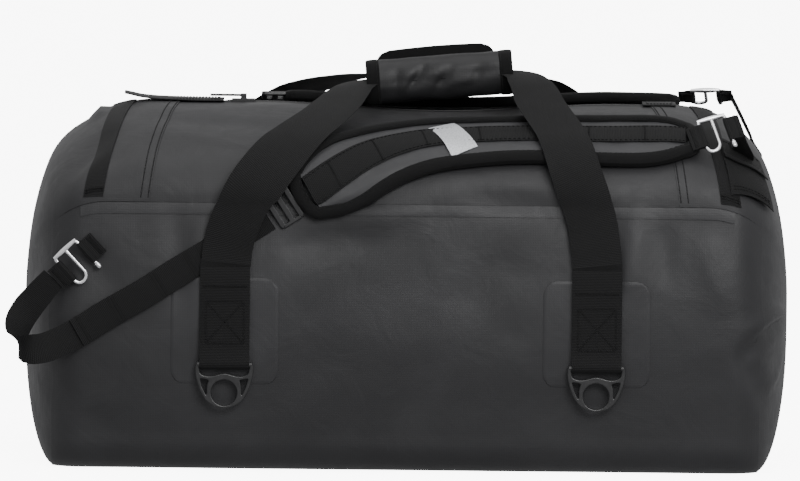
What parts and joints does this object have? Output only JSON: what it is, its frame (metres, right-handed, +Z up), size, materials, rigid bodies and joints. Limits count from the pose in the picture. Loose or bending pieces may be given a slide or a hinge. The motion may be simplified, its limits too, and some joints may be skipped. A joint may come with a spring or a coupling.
{
  "type": "dry bag",
  "caption": "Duffel-style waterproof dry bag with domed zip lid, webbing carry handles joined by a grip wrap, padded shoulder straps on metal hooks, and moulded lashing rings.",
  "frame": {"origin": "centre of the base, on the surface that the bag stands on", "axes": "+X along the bag's length towards the end with the top hooks, +Y to the back, +Z up"},
  "size_m": [0.8016, 0.4103, 0.4219],
  "materials": {
    "tarpaulin": "matte coated tarpaulin with a fine grain and a soft sheen",
    "pad_face": "matte coated fabric over foam",
    "webbing": "black woven webbing with fine cross ribs",
    "binding_tape": "black woven binding tape",
    "zipper_rubber": "matte coated zipper tape",
    "moulded_plastic": "satin moulded nylon",
    "hook_metal": "polished light metal",
    "reflective_tape": "silver reflective tape"
  },
  "bodies": {
    "root": {"base_panel": "tarpaulin", "front_panel": "tarpaulin", "rear_panel": "tarpaulin", "left_end_panel": "tarpaulin", "right_end_panel": "tarpaulin", "lid_front_panel": "tarpaulin", "lid_rear_panel": "tarpaulin", "lid_left_panel": "tarpaulin", "lid_right_panel": "tarpaulin", "front_seam_tape": "tarpaulin", "rear_seam_tape": "tarpaulin", "zipper_tapes": "zipper_rubber", "zipper_teeth": "moulded_plastic", "left_zipper_dock": "zipper_rubber", "right_zipper_dock": "zipper_rubber", "left_end_strip": "webbing", "right_end_strip": "webbing", "front_left_patch": "tarpaulin", "front_right_patch": "tarpaulin", "rear_left_patch": "tarpaulin", "rear_right_patch": "tarpaulin", "front_left_handle_anchor": "webbing", "front_right_handle_anchor": "webbing", "rear_left_handle_anchor": "webbing", "rear_right_handle_anchor": "webbing", "front_pad": "pad_face", "front_pad_binding": "binding_tape", "front_pad_webbing": "webbing", "front_reflective_tab": "reflective_tape", "front_tail_webbing": "webbing", "rear_pad": "pad_face", "rear_pad_binding": "binding_tape", "rear_pad_webbing": "webbing", "rear_reflective_tab": "reflective_tape", "rear_tail_webbing": "webbing", "front_hook_anchors": "webbing", "rear_hook_anchors": "webbing", "front_anchor_flap": "webbing", "rear_anchor_flap": "webbing"},
    "zipper_slider": {"zipper_slider": "moulded_plastic"},
    "zipper_pull": {"zipper_pull": "moulded_plastic"},
    "front_left_ring": {"front_left_ring": "moulded_plastic"},
    "front_right_ring": {"front_right_ring": "moulded_plastic"},
    "rear_left_ring": {"rear_left_ring": "moulded_plastic"},
    "rear_right_ring": {"rear_right_ring": "moulded_plastic"},
    "front_handle": {"front_handle_webbing": "webbing", "grip_wrap": "pad_face", "grip_bindings": "binding_tape", "grip_flap": "webbing"},
    "rear_handle": {"rear_handle_webbing": "webbing"},
    "front_ladder_lock": {"front_ladder_lock": "moulded_plastic"},
    "rear_ladder_lock": {"rear_ladder_lock": "moulded_plastic"},
    "front_tail_hook": {"front_tail_hook": "hook_metal", "front_tail_loop": "webbing"},
    "front_top_hook": {"front_top_hook": "hook_metal", "front_pad_loop": "webbing"},
    "rear_tail_hook": {"rear_tail_hook": "hook_metal", "rear_tail_loop": "webbing"},
    "rear_top_hook": {"rear_top_hook": "hook_metal", "rear_pad_loop": "webbing"}
  },
  "joints": [
    {"name": "zipper_slide", "type": "slide", "parent": "root", "child": "zipper_slider", "axis": [1, 0, 0], "range_m": [0, 0.39]},
    {"name": "zipper_pull_turn", "type": "hinge", "parent": "zipper_slider", "child": "zipper_pull", "pos_m": [-0.168, 0, 0.36627], "axis": [0, 1, 0], "range_deg": [0, 160]},
    {"name": "front_left_ring_swing", "type": "hinge", "parent": "root", "child": "front_left_ring", "pos_m": [-0.182, -0.1914, 0.11], "axis": [-1, 0, 0], "range_deg": [0, 110]},
    {"name": "front_right_ring_swing", "type": "hinge", "parent": "root", "child": "front_right_ring", "pos_m": [0.191, -0.1914, 0.11], "axis": [-1, 0, 0], "range_deg": [0, 110]},
    {"name": "front_handle_swing", "type": "hinge", "parent": "root", "child": "front_handle", "pos_m": [0, -0.1935, 0.206], "axis": [1, 0, 0], "range_deg": [0, 150]},
    {"name": "rear_left_ring_swing", "type": "hinge", "parent": "root", "child": "rear_left_ring", "pos_m": [-0.182, 0.1914, 0.11], "axis": [1, 0, 0], "range_deg": [0, 110]},
    {"name": "rear_right_ring_swing", "type": "hinge", "parent": "root", "child": "rear_right_ring", "pos_m": [0.191, 0.1914, 0.11], "axis": [1, 0, 0], "range_deg": [0, 110]},
    {"name": "rear_handle_swing", "type": "hinge", "parent": "root", "child": "rear_handle", "pos_m": [0, 0.1935, 0.206], "axis": [-1, 0, 0], "range_deg": [0, 150]},
    {"name": "front_lock_tilt", "type": "hinge", "parent": "root", "child": "front_ladder_lock", "pos_m": [-0.11478, -0.1825, 0.27499], "axis": [-0.5446, 0, 0.8387], "range_deg": [0, 10]},
    {"name": "rear_lock_tilt", "type": "hinge", "parent": "root", "child": "rear_ladder_lock", "pos_m": [-0.126, 0.06242, 0.36263], "axis": [0, 0.9781, -0.2079], "range_deg": [0, 35]},
    {"name": "front_tail_hook_swing", "type": "hinge", "parent": "root", "child": "front_tail_hook", "pos_m": [-0.32076, -0.1906, 0.22155], "axis": [-0.682, 0, 0.7314], "range_deg": [0, 40]},
    {"name": "rear_tail_hook_swing", "type": "hinge", "parent": "root", "child": "rear_tail_hook", "pos_m": [-0.313, 0.1904, 0.19988], "axis": [-0.866, 0, 0.5], "range_deg": [0, 40]},
    {"name": "front_top_hook_swing", "type": "hinge", "parent": "root", "child": "front_top_hook", "pos_m": [0.32232, -0.14471, 0.34867], "axis": [-0.309, 0.504, 0.8065], "range_deg": [0, 40]},
    {"name": "rear_top_hook_swing", "type": "hinge", "parent": "root", "child": "rear_top_hook", "pos_m": [0.31895, 0.06889, 0.36652], "axis": [0.0872, 0.9029, -0.421], "range_deg": [0, 40]}
  ]
}
